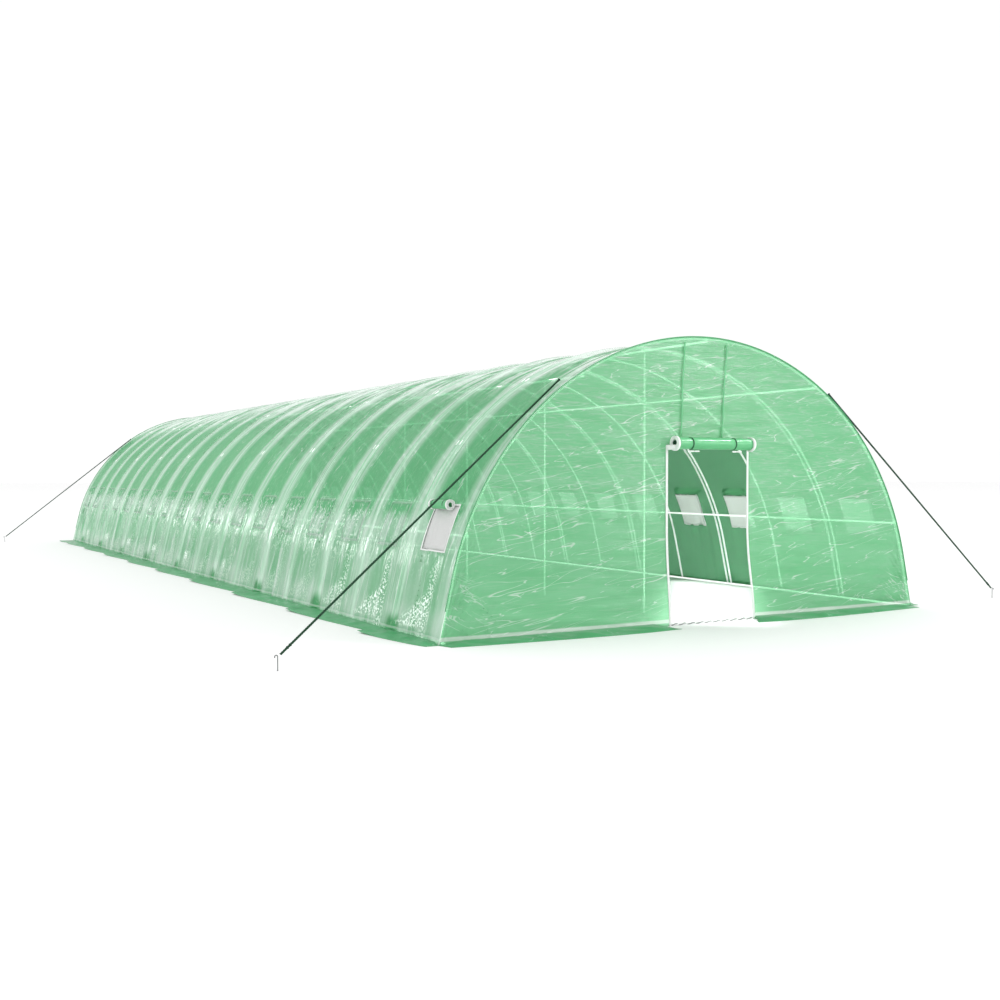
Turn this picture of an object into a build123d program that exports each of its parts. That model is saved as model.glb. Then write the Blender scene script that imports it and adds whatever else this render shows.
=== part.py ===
from build123d import *
import os
from math import acos, asin, atan2, cos, degrees, hypot, radians, sin

os.makedirs("parts", exist_ok=True)

# Polytunnel greenhouse: X across, Y from the door end to the far end, Z up from the ground, in millimetres.

# Overall form of the tunnel, measured outside the film
tunnel_width = 6000.0
tunnel_height = 2850.0
tunnel_length = 18000.0
leg_length = 600.0
bay_count = 18
clearance = 0.3
overrun = 20.0

# Film of the cover, ends, door and flaps
film_thickness = 5.0
wall_margin = 195.0
roof_strips_per_side = 4

# Hoops: a straight leg and two bent tubes on each side, the tubes drawn six-sided and their bends as chords
tube_radius = 12.5
tube_sides = 6
tubes_per_side = 2
chords_per_tube = 3
twin_spacing = 70.0

# Long tubes and centre posts, the long tubes placed by their share of the way from the legs to the ridge
purlin_radius = 12.5
wall_purlin_share = 0.1
roof_purlin_share = 0.6
post_radius = 12.5

# Door in the front end
door_width = 1060.0
door_height = 1740.0
door_roll_radius = 68.0
door_roll_core = 20.0
door_roll_overlap = 10.0
roll_sides = 12
core_sides = 6
tie_offset = 270.0
tie_width = 24.0
tie_thickness = 3.0
tie_top_drop = 80.0
zip_width = 24.0
zip_thickness = 3.0
threshold_depth = 30.0
threshold_height = 14.0

# Windows, one in each bay on both sides
window_width = 450.0
window_height = 440.0
window_low = 800.0
net_thickness = 2.0
window_hem = 30.0
window_flap_thickness = 3.0
window_roll_radius = 42.0
first_open_bays = 1

# Flaps that lie on the ground outside the walls
side_flap_width = 300.0
end_flap_width = 340.0
flap_point = 250.0

# Guy ropes and pegs at the four corners: each peg's place from the middle of its end, and its rope's on the film
rope_radius = 10.0
rope_tail = 200.0
front_left_peg_out = 4620.0
front_left_peg_ahead = 510.0
front_left_rope_inset = 150.0
front_right_peg_out = 4510.0
front_right_peg_behind = 70.0
front_right_rope_inset = 20.0
rear_left_peg_out = 4360.0
rear_left_peg_ahead = 380.0
rear_left_rope_inset = 100.0
peg_radius = 7.0
peg_height = 130.0
peg_grip = 105.0
hook_length = 45.0

# Worked-out sizes of the arch: each leg leans in and is tangent to the bend
half_width = tunnel_width / 2
half_length = tunnel_length / 2
arch_centre = (tunnel_height**2 + leg_length**2 - half_width**2) / (2 * tunnel_height)
arch_radius = tunnel_height - arch_centre
lean = degrees(atan2(-arch_centre, half_width) + acos(arch_radius / hypot(half_width, arch_centre)))
film_inside = arch_radius - film_thickness
arch_chords = 2 * tubes_per_side * chords_per_tube
chord_angle = (180 - 2 * lean) / arch_chords
half_chord = radians(chord_angle / 2)
tube_ring = (film_inside - clearance) * cos(half_chord) - tube_radius
purlin_ring = tube_ring - tube_radius - clearance - purlin_radius

# Worked-out places along the tunnel
flat_share = cos(radians(180 / tube_sides))
tube_reach = tube_radius / flat_share
purlin_reach = purlin_radius / flat_share
end_inset = film_thickness + clearance + tube_reach
bay_pitch = (tunnel_length - 2 * end_inset) / bay_count
hoop_places = [end_inset - half_length + bay * bay_pitch for bay in range(bay_count + 1)]
bay_middles = [place + bay_pitch / 2 for place in hoop_places[:-1]]
twin_places = hoop_places[1::2]
front = -half_length
inner_front = front + film_thickness + clearance
inner_length = tunnel_length - 2 * (film_thickness + clearance)


def save(name, *solids):
    """Write one named piece, or several like pieces that don't touch, to its own file."""
    shape = solids[0] if len(solids) == 1 else Compound(children=list(solids))
    export_step(shape, f"parts/{name}.step")


def both_sides(solid):
    """The piece on the left, -X, and its mirror image on the right."""
    return solid, mirror(solid, about=Plane.YZ)


def arch_point(radius, angle):
    """A point of the cross-section on a circle about the bend's centre, the angle counted from +X."""
    return radius * cos(radians(angle)), arch_centre + radius * sin(radians(angle))


def along(section, start, length):
    """Carry a cross-section, drawn across the tunnel, along it from a starting place."""
    return extrude(Pos(0, start, 0) * (Plane.XZ * section), amount=length, dir=(0, 1, 0))


def sector(inside, outside, low, high):
    """Cross-section of a curved sheet between two radii and two angles."""
    outer = CenterArc((0, arch_centre), outside, low, high - low)
    inner = CenterArc((0, arch_centre), inside, low, high - low)
    return make_face([outer, Line(outer @ 1, inner @ 1), inner, Line(inner @ 0, outer @ 0)])


def round_bar(radius, sides=tube_sides, facing=90):
    """Cross-section of a tube, rope or roll as a polygon, one of its flats facing an angle counted from X."""
    return RegularPolygon(radius, sides, major_radius=False, rotation=facing - 180 / sides)


# Hoops


def hoop_tube_places():
    """Every tube's place along the tunnel: one at each even hoop, two side by side at each odd one."""
    places = []
    for number, place in enumerate(hoop_places):
        if number % 2:
            places += [place - twin_spacing / 2, place + twin_spacing / 2]
        else:
            places.append(place)
    return places


def tube_section(point, direction):
    """A tube's cross-section at a point of the hoop, square to its direction, a flat facing the film."""
    plane = Plane(origin=point, x_dir=(0, 1, 0), z_dir=direction)
    return plane * round_bar(tube_radius)


def leg_tube():
    """The straight leg on the right side, from the bend down to the ground."""
    x, z = arch_point(tube_ring, lean)
    down = (sin(radians(lean)), 0, -cos(radians(lean)))
    tube = extrude(tube_section((x, 0, z), down), amount=leg_length + tunnel_height, dir=down)
    return split(tube, bisect_by=Plane.XY, keep=Keep.TOP)


def bent_tube(number):
    """A bent tube on the right side, counted from the leg, its ends in the middle of a chord."""
    first = number * chords_per_tube
    corners = [lean + (first + chord) * chord_angle + chord_angle / 2 for chord in range(chords_per_tube)]
    ends = [lean + first * chord_angle, lean + (first + chords_per_tube) * chord_angle]
    route = [arch_point(tube_ring, ends[0])]
    route += [arch_point(tube_ring / cos(half_chord), corner) for corner in corners]
    route.append(arch_point(tube_ring, ends[1]))
    path = Polyline(*[(x, 0, z) for x, z in route])
    return sweep(tube_section(path @ 0, path % 0), path=path, transition=Transition.RIGHT)


for name, tube in [("legs", leg_tube()), ("haunch_tubes", bent_tube(0)), ("roof_tubes", bent_tube(1))]:
    save(f"right_{name}", *[Pos(0, place, 0) * tube for place in hoop_tube_places()])
    turned = mirror(tube, about=Plane.YZ)
    save(f"left_{name}", *[Pos(0, place, 0) * turned for place in hoop_tube_places()])

# Long tubes inside the hoops, and the posts under the ridge


def purlin(share):
    """A long tube on the right side, a flat of it against the nearest chord of every hoop."""
    angle = lean + share * (90 - lean)
    chord_middle = lean + round((angle - lean) / chord_angle) * chord_angle
    centre = arch_point(purlin_ring / cos(radians(angle - chord_middle)), angle)
    return along(Pos(*centre) * round_bar(purlin_radius, facing=chord_middle), inner_front, inner_length)


def base_rail():
    """The long tube on the ground, against the inner face of the right legs."""
    face_distance = tube_ring - tube_radius - clearance - purlin_reach * cos(radians(lean))
    drop = (purlin_radius - arch_centre) * sin(radians(lean))
    centre = ((face_distance - drop) / cos(radians(lean)), purlin_radius)
    return along(Pos(*centre) * round_bar(purlin_radius), inner_front, inner_length)


ridge_underside = arch_centre + purlin_ring - purlin_radius
save("ridge_purlin", purlin(1))
save("roof_purlins", *both_sides(purlin(roof_purlin_share)))
save("wall_purlins", *both_sides(purlin(wall_purlin_share)))
save("base_rails", *both_sides(base_rail()))
post = extrude(round_bar(post_radius), amount=ridge_underside - clearance)
save("centre_posts", *[Pos(0, place, 0) * post for place in twin_places])

# Windows in the walls

window_low_angle = degrees(asin((window_low - arch_centre) / arch_radius))
window_high_angle = window_low_angle + degrees(window_height / arch_radius)
hem_angle = degrees(window_hem / arch_radius)
gap_angle = degrees(clearance / film_inside)
roll_angle = window_high_angle + degrees(window_roll_radius / arch_radius)
wall_top_angle = window_high_angle + degrees(wall_margin / arch_radius)


def window_opening(middle):
    """What is cut out of the right wall for the window of one bay."""
    hole = sector(film_inside - overrun, arch_radius + overrun, window_low_angle, window_high_angle)
    return along(hole, middle - window_width / 2, window_width)


def window_net(middle):
    """The net that closes one window of the right wall, pulled flat between the window's edges."""
    rings = film_inside, film_inside + net_thickness
    low = [arch_point(ring, window_low_angle + gap_angle) for ring in rings]
    high = [arch_point(ring, window_high_angle - gap_angle) for ring in reversed(rings)]
    net = make_face(Polyline(*low, *high, close=True))
    return along(net, middle - window_width / 2 + clearance, window_width - 2 * clearance)


def window_flap(middle):
    """The film flap that hangs closed over one window of the right wall."""
    inside = arch_radius + clearance
    flap = sector(
        inside,
        inside + window_flap_thickness,
        window_low_angle - hem_angle,
        window_high_angle + hem_angle,
    )
    return along(flap, middle - window_width / 2 - window_hem, window_width + 2 * window_hem)


def window_roll(middle):
    """The flap rolled up above one open window of the right wall."""
    centre = arch_point(arch_radius + clearance + window_roll_radius, roll_angle)
    roll = Pos(*centre) * round_bar(window_roll_radius, roll_sides, roll_angle)
    return along(roll, middle - window_width / 2 - window_hem, window_width + 2 * window_hem)


nets = [window_net(middle) for middle in bay_middles]
save("right_window_nets", *nets)
save("left_window_nets", *[mirror(net, about=Plane.YZ) for net in nets])
rolls = [window_roll(middle) for middle in bay_middles]
save("right_window_rolls", *rolls)
save("left_window_rolls", *[mirror(roll, about=Plane.YZ) for roll in rolls[:first_open_bays]])
shut_bays = bay_middles[first_open_bays:]
save("left_window_flaps", *[mirror(window_flap(middle), about=Plane.YZ) for middle in shut_bays])

# Film over the hoops, in long strips


def lower_wall():
    """The flat strip of film over the right legs, cut off level at the ground."""
    outer_top = arch_point(arch_radius, lean)
    inner_top = arch_point(film_inside, lean)
    inner_foot = half_width - film_thickness / cos(radians(lean))
    strip = Polyline((half_width, 0), outer_top, inner_top, (inner_foot, 0), close=True)
    return along(make_face(strip), front, tunnel_length)


def window_wall():
    """The bent strip of film above the right legs, with the windows cut out of it."""
    strip = along(sector(film_inside, arch_radius, lean, wall_top_angle), front, tunnel_length)
    return strip - [window_opening(middle) for middle in bay_middles]


def roof_strip(number):
    """One strip of roof film on the right side, counted up from the wall."""
    step = (90 - wall_top_angle) / roof_strips_per_side
    low = wall_top_angle + number * step
    return along(sector(film_inside, arch_radius, low, low + step), front, tunnel_length)


strips = {"lower_wall": lower_wall(), "window_wall": window_wall()}
for number in range(roof_strips_per_side):
    strips[f"roof_strip_{number + 1}"] = roof_strip(number)
for name, strip in strips.items():
    save(f"right_{name}", strip)
    save(f"left_{name}", mirror(strip, about=Plane.YZ))

# Ends: film panels beside and over the door

half_door = door_width / 2


def end_outline():
    """Outline of an end, just inside the film over the hoops."""
    reach = film_inside - clearance
    foot = half_width - (film_thickness + clearance) / cos(radians(lean))
    bend = CenterArc((0, arch_centre), reach, lean, 180 - 2 * lean)
    legs = [Line((foot, 0), bend @ 0), Line(bend @ 1, (-foot, 0))]
    return make_face([bend, *legs, Line((-foot, 0), (foot, 0))])


def end_piece(low_x, high_x, low_z):
    """The part of an end panel between two places across the tunnel and above a height, at the front."""
    size = (high_x - low_x, tunnel_height - low_z)
    window = Pos(low_x, low_z) * Rectangle(*size, align=(Align.MIN, Align.MIN))
    return along(end_outline() & window, front, film_thickness)


def at_rear(solid):
    """The same piece at the far end."""
    return mirror(solid, about=Plane.XZ)


end_pieces = {
    "left_panel": end_piece(-half_width, -half_door, 0),
    "right_panel": end_piece(half_door, half_width, 0),
    "door_head": end_piece(-half_door, half_door, door_height),
}
for name, solid in end_pieces.items():
    save(f"front_{name}", solid)
    save(f"rear_{name}", at_rear(solid))
leaf = Pos(0, clearance) * Rectangle(
    door_width - 2 * clearance, door_height - 2 * clearance, align=(Align.CENTER, Align.MIN)
)
save("rear_door_leaf", at_rear(along(leaf, front, film_thickness)))

# Door: zips beside the opening, threshold, and the leaf rolled up above it

outside_front = front - clearance


def door_zip():
    """The zip tape beside the right edge of the front door."""
    tape = Pos(half_door, 0) * Rectangle(zip_width, door_height, align=(Align.MIN, Align.MIN))
    return along(tape, outside_front - zip_thickness, zip_thickness)


zips = both_sides(door_zip())
save("front_door_zips", *zips)
save("rear_door_zips", *[at_rear(tape) for tape in zips])
sill = Rectangle(door_width - 2 * clearance, threshold_height, align=(Align.CENTER, Align.MIN))
save("door_threshold", along(sill, front, threshold_depth))

roll_height = door_height + door_roll_radius
roll_middle = outside_front - tie_thickness - clearance - door_roll_radius
roll_length = door_width + 2 * door_roll_overlap


def across(section, start, length):
    """Carry a section, drawn along the tunnel and centred on the roll, across it."""
    return extrude(Pos(start, roll_middle, roll_height) * (Plane.YZ * section), amount=length, dir=(1, 0, 0))


def roll_outline(radius):
    """Outline of the roll, or of a band round it, a flat of it facing the end panel."""
    return round_bar(radius, roll_sides, 0)


leaf_roll = roll_outline(door_roll_radius) - round_bar(door_roll_core, core_sides)
save("door_roll", across(leaf_roll, -roll_length / 2, roll_length))


def roll_tie():
    """The right tie: a band round the roll, on a tape that hangs from near the top of the end."""
    inside = door_roll_radius + clearance
    band = roll_outline(inside + tie_thickness) - roll_outline(inside)
    tape_length = tunnel_height - tie_top_drop - roll_height
    tape = Pos(inside + tie_thickness / 2, 0) * Rectangle(
        tie_thickness, tape_length, align=(Align.CENTER, Align.MIN)
    )
    return across(band + tape, tie_offset - tie_width / 2, tie_width)


save("door_roll_ties", *both_sides(roll_tie()))

# Flaps on the ground


def side_flap():
    """The flap along the right wall."""
    inner = half_width + clearance
    return Pos(inner, front, 0) * Box(
        side_flap_width, tunnel_length, film_thickness, align=(Align.MIN, Align.MIN, Align.MIN)
    )


def end_flap():
    """The flap along the front to the right of the door, pointed at the door."""
    start = half_door + zip_width + clearance
    outline = Polyline(
        (start, front - clearance),
        (half_width, front - clearance),
        (half_width, front - end_flap_width),
        (start + flap_point, front - end_flap_width),
        close=True,
    )
    return extrude(make_face(outline), amount=film_thickness)


save("side_flaps", *both_sides(side_flap()))
front_flaps = both_sides(end_flap())
save("end_flaps", *front_flaps, *[at_rear(flap) for flap in front_flaps])

# Guy ropes, straight from the pegs and tangent to the film

rope_ring = arch_radius + clearance + rope_radius


def rope_line(peg_out, peg_ahead, rope_inset):
    """A rope's line at the front right corner: where it touches the film, its peg, and the angle of the touch."""
    peg_distance = hypot(peg_out, peg_grip - arch_centre)
    touch_angle = degrees(atan2(peg_grip - arch_centre, peg_out) + acos(rope_ring / peg_distance))
    touch_x, touch_z = arch_point(rope_ring, touch_angle)
    touch = Vector(touch_x, front + rope_inset, touch_z)
    grip = Vector(peg_out, front - peg_ahead, peg_grip)
    return touch, grip, touch_angle


def guy_rope(*places):
    """The rope at the front right corner, from just above where it touches the film to its peg's flat."""
    touch, grip, touch_angle = rope_line(*places)
    pull = (grip - touch).normalized()
    top = touch - pull * rope_tail
    outward = Vector(cos(radians(touch_angle)), 0, sin(radians(touch_angle)))
    plane = Plane(origin=top, x_dir=pull.cross(outward), z_dir=pull)
    rope = extrude(plane * round_bar(rope_radius), amount=(grip - top).length)
    level = Vector(pull.X, pull.Y, 0).normalized()
    flat = Plane(origin=grip - level * (peg_radius + clearance), z_dir=level)
    return split(rope, bisect_by=flat, keep=Keep.BOTTOM)


def guy_peg(*places):
    """The steel peg at the front right corner, a flat facing the rope and a hook that points away."""
    touch, grip, touch_angle = rope_line(*places)
    pull = grip - touch
    stem = extrude(round_bar(peg_radius, facing=degrees(atan2(pull.Y, pull.X))), amount=peg_height)
    hook = extrude(Plane.YZ * round_bar(peg_radius), amount=hook_length)
    return Pos(grip.X, grip.Y, 0) * (stem + Pos(0, 0, peg_height - peg_radius) * hook)


front_left = front_left_peg_out, front_left_peg_ahead, front_left_rope_inset
front_right = front_right_peg_out, -front_right_peg_behind, front_right_rope_inset
rear_left = rear_left_peg_out, rear_left_peg_ahead, rear_left_rope_inset
for name, made in [("guy_ropes", guy_rope), ("guy_pegs", guy_peg)]:
    long_one = made(*front_left)
    fronts = mirror(long_one, about=Plane.YZ), made(*front_right)
    rears = at_rear(mirror(made(*rear_left), about=Plane.YZ)), at_rear(long_one)
    save(name, *fronts, *rears)
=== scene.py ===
import math
from collections import namedtuple

import bpy
import numpy as np
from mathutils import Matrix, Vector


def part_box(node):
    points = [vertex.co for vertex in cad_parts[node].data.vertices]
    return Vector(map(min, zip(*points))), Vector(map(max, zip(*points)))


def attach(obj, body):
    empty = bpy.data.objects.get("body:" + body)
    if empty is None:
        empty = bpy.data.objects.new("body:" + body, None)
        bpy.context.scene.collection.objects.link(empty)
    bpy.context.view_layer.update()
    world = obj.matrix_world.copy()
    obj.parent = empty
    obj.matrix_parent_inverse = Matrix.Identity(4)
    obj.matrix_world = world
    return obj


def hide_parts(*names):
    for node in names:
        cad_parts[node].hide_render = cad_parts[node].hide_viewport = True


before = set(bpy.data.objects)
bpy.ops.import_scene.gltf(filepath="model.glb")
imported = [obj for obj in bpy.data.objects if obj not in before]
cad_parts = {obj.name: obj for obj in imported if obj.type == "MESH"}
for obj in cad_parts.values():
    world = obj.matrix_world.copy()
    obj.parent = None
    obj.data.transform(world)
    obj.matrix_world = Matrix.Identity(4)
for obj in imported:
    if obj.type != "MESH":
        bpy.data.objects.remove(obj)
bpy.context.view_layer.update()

scene = bpy.context.scene

# Sizes of the tunnel in metres: X across, Y from the door end to the far end, Z up
HALF = 3.0
HEIGHT = 2.85
LENGTH = 18.0
FRONT = -LENGTH / 2
LEG = 0.6
BAYS = 18
FIRST_HOOP = -8.9803
PITCH = 0.99781
TWIN = 0.035  # from the middle of a double hoop to each of its tubes
TUBE = 0.0125  # radius
TUBE_GAP = 0.0055  # from the film's outer face to the hoops
FILM = 0.004
COVER_FILM = 0.0012
CENTRE = (HEIGHT**2 + LEG**2 - HALF**2) / (2 * HEIGHT)
BEND = HEIGHT - CENTRE
LEAN = math.atan2(-CENTRE, HALF) + math.acos(BEND / math.hypot(HALF, CENTRE))
ARC = BEND * (math.pi - 2 * LEAN)
GIRTH = 2 * LEG + ARC
WALL_TOP = 1.459  # this and the next two are measured round the arch from its foot
WINDOW_LOW = 0.824
WINDOW_HIGH = 1.264
WINDOW_WIDTH = 0.45
ROLL_OUT = 0.0423  # from the film's outer face to the middle of a rolled flap
NET_EDGE = 0.006
FLAP_GAP = 0.0005
DOOR_HALF = 0.53
DOOR_HEIGHT = 1.74
ON_GROUND = 0.004
PURLINS = {"ridge_purlin": 90.0, "roof_purlins": 59.3, "wall_purlins": 20.94}
TUBE_JOINT = 40.0  # degrees round the bend, as for the purlins
SIDES = ("left", "right")
HOOPS = FIRST_HOOP + PITCH * np.arange(BAYS + 1)
MIDDLES = HOOPS[:-1] + PITCH / 2
GATHERS = HOOPS[1::2]
TUBES = np.sort(np.concatenate([HOOPS[0::2], GATHERS - TWIN, GATHERS + TWIN]))

# A shape: its points, its four-sided faces, and for each face 0 where it is an outer one, 1 on the inner side
# of a sheet, and 2 on a rim or an end
Part = namedtuple("Part", "points quads side")


# Shapes, worked out as whole arrays

def vault(girth, out=0.0):
    """Points across the arch at distances round it from the left foot: a straight leg, the bend about one
    centre and a straight leg, set out from the film's outer face by a distance."""
    girth = np.asarray(girth, float)
    angle = math.pi - LEAN - np.clip(girth - LEG, 0, ARC) / BEND
    left = np.clip(LEG - girth, 0, None)
    right = np.clip(girth - LEG - ARC, 0, None)
    x = (BEND + out) * np.cos(angle) + (right - left) * math.sin(LEAN)
    z = CENTRE + (BEND + out) * np.sin(angle) - (left + right) * math.cos(LEAN)
    return x, z


def round_bend(degree, out):
    """The place across and up at an angle round the bend, set out from the film's outer face."""
    turn = np.radians(degree)
    return (BEND + out) * np.cos(turn), CENTRE + (BEND + out) * np.sin(turn)


def end_height(x):
    """Height of the arch's outline over places across the tunnel: the bend, and near the sides the legs."""
    side = np.abs(x)
    bend = CENTRE + np.sqrt(np.clip(BEND**2 - side**2, 0, None))
    leg = (HALF - side) / math.tan(LEAN)
    return np.where(side > BEND * math.cos(LEAN), leg, bend)


def ripple(a, b, seed, waves, lengths_a, lengths_b):
    """A smooth random field of about unit size over two coordinates: the sum of plane waves, whose lengths
    along each coordinate are drawn between two limits."""
    rng = np.random.default_rng(seed)
    turns_a = rng.choice([-1, 1], waves) / rng.uniform(*lengths_a, waves)
    turns_b = 1 / rng.uniform(*lengths_b, waves)
    start = rng.uniform(0, 1, waves)
    phase = np.multiply.outer(a, turns_a) + np.multiply.outer(b, turns_b) + start
    return np.cos(2 * math.pi * phase).sum(-1) * math.sqrt(2 / waves)


def smooth(value, low, high):
    """Zero below low, one above high, and a smooth step between them."""
    share = np.clip((value - low) / (high - low), 0, 1)
    return share * share * (3 - 2 * share)


def in_bay(y):
    """Share of the way through its bay of each place along the tunnel: 0 at one hoop and 1 at the next."""
    return np.mod((y - FIRST_HOOP) / PITCH, 1.0)


def steps(*stops):
    """Places from stop to stop, each stop after the first given with its number of equal steps."""
    runs = [np.linspace(low, high, count + 1)[:-1] for (low, _), (high, count) in zip(stops[:-1], stops[1:])]
    return np.concatenate([*runs, [stops[-1][0]]])


def points_of(x, y, z):
    """Three coordinates, stretched to one grid, as points."""
    return np.stack(np.broadcast_arrays(x, y, z), -1).astype(float)


def bar(path, radius, sides=10, across=None):
    """A round bar along a path: circles square to it at each of its points, and both ends closed by strips
    of quads. The circles are turned by a direction across the path, or else by the axis along which it is
    shortest."""
    path = np.asarray(path, float)
    ahead = np.gradient(path, axis=0)
    ahead /= np.linalg.norm(ahead, axis=1, keepdims=True)
    if across is None:
        first_if_equal = [1, 1.0001, 1.0002]
        across = np.eye(3)[int(np.argmin(np.ptp(path, axis=0) * first_if_equal))]
    side = np.cross(ahead, across)
    side /= np.linalg.norm(side, axis=1, keepdims=True)
    up = np.cross(side, ahead)
    turn = np.linspace(0, 2 * math.pi, sides, endpoint=False)
    ring = np.cos(turn)[None, :, None] * side[:, None] + np.sin(turn)[None, :, None] * up[:, None]
    grid = path[:, None] + np.broadcast_to(radius, len(path))[:, None, None] * ring
    index = np.arange(len(path) * sides).reshape(len(path), sides)
    after = np.roll(index, -1, axis=1)
    quads = np.stack([index[:-1], index[1:], after[1:], after[:-1]], -1).reshape(-1, 4)
    near = np.arange(sides // 2 - 1)
    cap = np.stack([near, near + 1, sides - 2 - near, sides - 1 - near], -1)
    place = np.repeat([0, 2], [len(quads), 2 * len(cap)])
    quads = np.concatenate([quads, cap, cap[:, ::-1] + index[-1, 0]])
    return Part(grid.reshape(-1, 3), quads, place)


def sheet(outer, thickness=FILM, keep=None):
    """A thin closed sheet: a grid of points, the same grid set back along its own normals, and a rim along
    every free edge, also round the cells that are left out."""
    rows, columns = outer.shape[:2]
    normal = np.cross(np.gradient(outer, axis=1), np.gradient(outer, axis=0))
    normal /= np.maximum(np.linalg.norm(normal, axis=-1, keepdims=True), 1e-9)
    keep = np.ones((rows - 1, columns - 1), bool) if keep is None else keep
    count = rows * columns
    index = np.arange(count).reshape(rows, columns)
    face = np.stack([index[:-1, :-1], index[:-1, 1:], index[1:, 1:], index[1:, :-1]], -1)[keep]
    filled = np.pad(keep, 1)
    edges = [
        (index[:, :-1], index[:, 1:], filled[:-1, 1:-1], filled[1:, 1:-1]),
        (index[1:], index[:-1], filled[1:-1, :-1], filled[1:-1, 1:]),
    ]
    rims = []
    for start, end, before, beyond in edges:
        for first, last, bare in [(end, start, beyond & ~before), (start, end, before & ~beyond)]:
            a, b = first[bare], last[bare]
            rims.append(np.stack([a, b, b + count, a + count], -1))
    quads = np.concatenate([face, face[:, ::-1] + count, *rims])
    place = np.minimum(np.arange(len(quads)) // len(face), 2)
    used, quads = np.unique(quads, return_inverse=True)
    points = np.concatenate([outer.reshape(-1, 3), (outer - normal * thickness).reshape(-1, 3)])[used]
    return Part(points, quads.reshape(-1, 4), place)


def joined(parts):
    """Several shapes as one."""
    parts = list(parts)
    offsets = np.cumsum([0] + [len(part.points) for part in parts[:-1]])
    quads = np.concatenate([part.quads + offset for part, offset in zip(parts, offsets)])
    points = np.concatenate([part.points for part in parts])
    return Part(points, quads, np.concatenate([part.side for part in parts]))


def mirrored(part, axis):
    """The same shape on the other side of the middle plane across one axis."""
    flip = np.ones(3)
    flip[axis] = -1
    return Part(part.points * flip, part.quads[:, ::-1], part.side)


def doubled(part, axis):
    """A shape together with its mirror image."""
    return joined([part, mirrored(part, axis)])


def ribbon(path, across, width, thickness=0.002):
    """A flat ribbon along a path, its width along a direction across it."""
    offset = np.linspace(-width / 2, width / 2, 3)[None, :, None] * np.asarray(across, float)
    return sheet(np.asarray(path, float)[:, None] + offset, thickness)


def laid_strands(path, radius, lay, strands):
    """Strands laid together round a path, each with one full turn for each lay length."""
    path = np.asarray(path, float)
    ahead = (path[-1] - path[0]) / np.linalg.norm(path[-1] - path[0])
    side = np.cross(ahead, [0.0, 0.0, 1.0])
    side /= np.linalg.norm(side)
    up = np.cross(side, ahead)
    run = np.concatenate([[0], np.cumsum(np.linalg.norm(np.diff(path, axis=0), axis=1))])
    parts = []
    for number in range(strands):
        turn = 2 * math.pi * (run / lay + number / strands)
        offset = np.cos(turn)[:, None] * side + np.sin(turn)[:, None] * up
        parts.append(bar(path + offset * radius * 0.52, radius * 0.5, 6))
    return parts


def rolled(centre, axis, span, core, outer, turns, thickness, columns=3, pinches=()):
    """A sheet rolled up along one axis: a spiral from a hollow core to the outer radius, drawn in where
    ties go round it."""
    turn = np.linspace(0, 2 * math.pi * turns, int(turns * 26))[:, None]
    along = np.linspace(*span, columns)[None, :]
    waist = 1 - 0.07 * np.exp(-(((along[..., None] - np.asarray(pinches)) / 0.03) ** 2)).sum(-1)
    radius = waist * (core + thickness + (outer - core - thickness) * turn / turn.max())
    turn = turn - turn.max() - 0.35 * math.pi
    return lengthwise(centre, axis, radius * np.cos(turn), radius * np.sin(turn), along, thickness)


def tie_band(centre, axis, place, radius, width):
    """A flat tie all the way round a roll."""
    turn = np.linspace(0, 2 * math.pi, 33)[:, None]
    along = place + np.linspace(-width / 2, width / 2, 3)[None, :]
    return lengthwise(centre, axis, radius * np.cos(turn), radius * np.sin(turn), along, 0.003)


def lengthwise(centre, axis, flat, up, along, thickness):
    """A sheet from a section carried along X or along Y."""
    if axis == 0:
        return sheet(points_of(along, centre[0] + flat, centre[1] + up), thickness)
    return sheet(points_of(centre[0] + flat, along[:, ::-1], centre[1] + up), thickness)


def piece(name, part, material, slot, *nodes, lining=None):
    """Make one piece of the tunnel from a shape, standing for some nodes of the solid model. A lining is
    the material of the inner side of its sheets."""
    mesh = bpy.data.meshes.new(name)
    mesh.vertices.add(len(part.points))
    mesh.vertices.foreach_set("co", part.points.astype(np.float32).ravel())
    mesh.loops.add(part.quads.size)
    mesh.loops.foreach_set("vertex_index", part.quads.astype(np.int32).ravel())
    mesh.polygons.add(len(part.quads))
    mesh.polygons.foreach_set("loop_start", np.arange(len(part.quads), dtype=np.int32) * 4)
    mesh.polygons.foreach_set("use_smooth", part.side < 2)
    mesh.materials.append(material)
    if lining:
        mesh.materials.append(lining)
        mesh.polygons.foreach_set("material_index", (part.side == 1).astype(np.int32))
    mesh.update(calc_edges=True)
    made = bpy.data.objects.new(name, mesh)
    scene.collection.objects.link(made)
    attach(made, "root")
    if nodes:
        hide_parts(*nodes)
    return made


# Materials

def arithmetic(operation):
    """A method that adds one node of arithmetic to the graph of the value it is called on."""
    return lambda value, *others: value.graph.math(operation, value, *others)


class Value:
    """A value that varies over a surface: an output of a shader node. Arithmetic on it adds nodes."""

    __add__ = __radd__ = arithmetic("ADD")
    __mul__ = __rmul__ = arithmetic("MULTIPLY")
    __sub__ = arithmetic("SUBTRACT")
    __truediv__ = arithmetic("DIVIDE")
    __abs__ = arithmetic("ABSOLUTE")
    fraction = arithmetic("FRACT")
    most = arithmetic("MAXIMUM")
    least = arithmetic("MINIMUM")
    below = arithmetic("LESS_THAN")
    to_and_fro = arithmetic("PINGPONG")

    def __init__(self, graph, socket):
        self.graph = graph
        self.socket = socket

    def __rsub__(self, other):
        return self.graph.math("SUBTRACT", other, self)

    def grow(self, low, high):
        inputs = {"Value": self, "From Min": low, "From Max": high}
        return self.graph.add("ShaderNodeMapRange", inputs, interpolation_type="SMOOTHSTEP")[0]

    def fade(self, low, high):
        return 1.0 - self.grow(low, high)


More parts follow.
